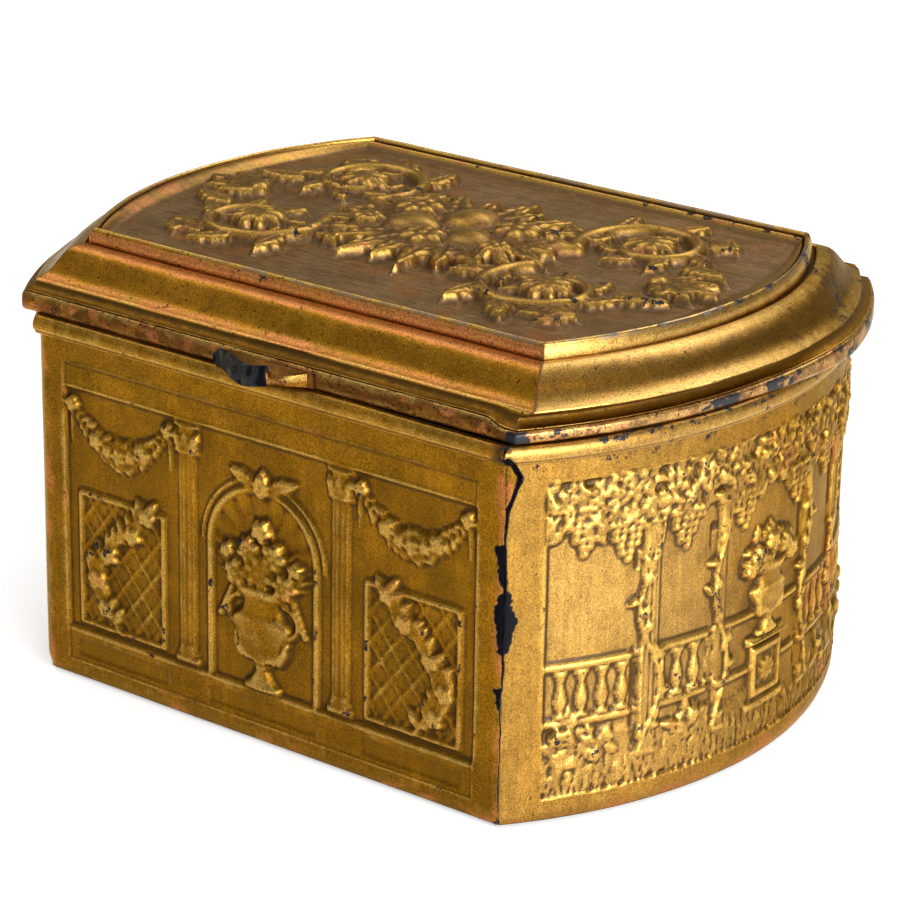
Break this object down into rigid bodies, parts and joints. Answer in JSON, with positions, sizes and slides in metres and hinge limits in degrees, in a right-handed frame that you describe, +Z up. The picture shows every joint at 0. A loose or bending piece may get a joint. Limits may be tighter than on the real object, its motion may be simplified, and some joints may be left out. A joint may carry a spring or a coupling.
{
  "type": "tin money box",
  "caption": "Pressed-tin money box with straight front and back, bowed ends, moulded hinged lid with a thumb lift, and embossed panels.",
  "frame": {"origin": "centre of the flat base, on the surface that the box stands on", "axes": "+X along the front from left to right, +Y from the front to the hinged back, +Z up"},
  "size_m": [0.1278, 0.1007, 0.0733],
  "materials": {
    "gold_lacquered_tin": "worn gold-bronze lacquer on tinplate, satin",
    "brown_lacquered_tin": "dusty brown-gold lacquer, fine brushed lines",
    "worn_lacquered_tin": "dark worn lacquer with bare edges",
    "bare_tin": "dull bare metal"
  },
  "bodies": {
    "body": {"front_panel": "gold_lacquered_tin", "back_panel": "gold_lacquered_tin", "left_end_panel": "gold_lacquered_tin", "right_end_panel": "gold_lacquered_tin", "bottom_tray": "worn_lacquered_tin", "body_rim_band": "gold_lacquered_tin", "front_left_corner_strip": "worn_lacquered_tin", "front_right_corner_strip": "worn_lacquered_tin", "back_left_corner_strip": "worn_lacquered_tin", "back_right_corner_strip": "worn_lacquered_tin", "body_hinge_leaf": "worn_lacquered_tin", "hinge_pin": "bare_tin"},
    "lid": {"lid_moulding": "gold_lacquered_tin", "lid_top_panel": "brown_lacquered_tin", "lid_rim_band": "worn_lacquered_tin", "thumb_lift": "bare_tin", "lid_hinge_leaf": "worn_lacquered_tin"}
  },
  "joints": [
    {"name": "lid_hinge", "type": "hinge", "parent": "body", "child": "lid", "pos_m": [0, 0.0481, 0.0614], "axis": [-1, 0, 0], "range_deg": [0, 105]}
  ]
}
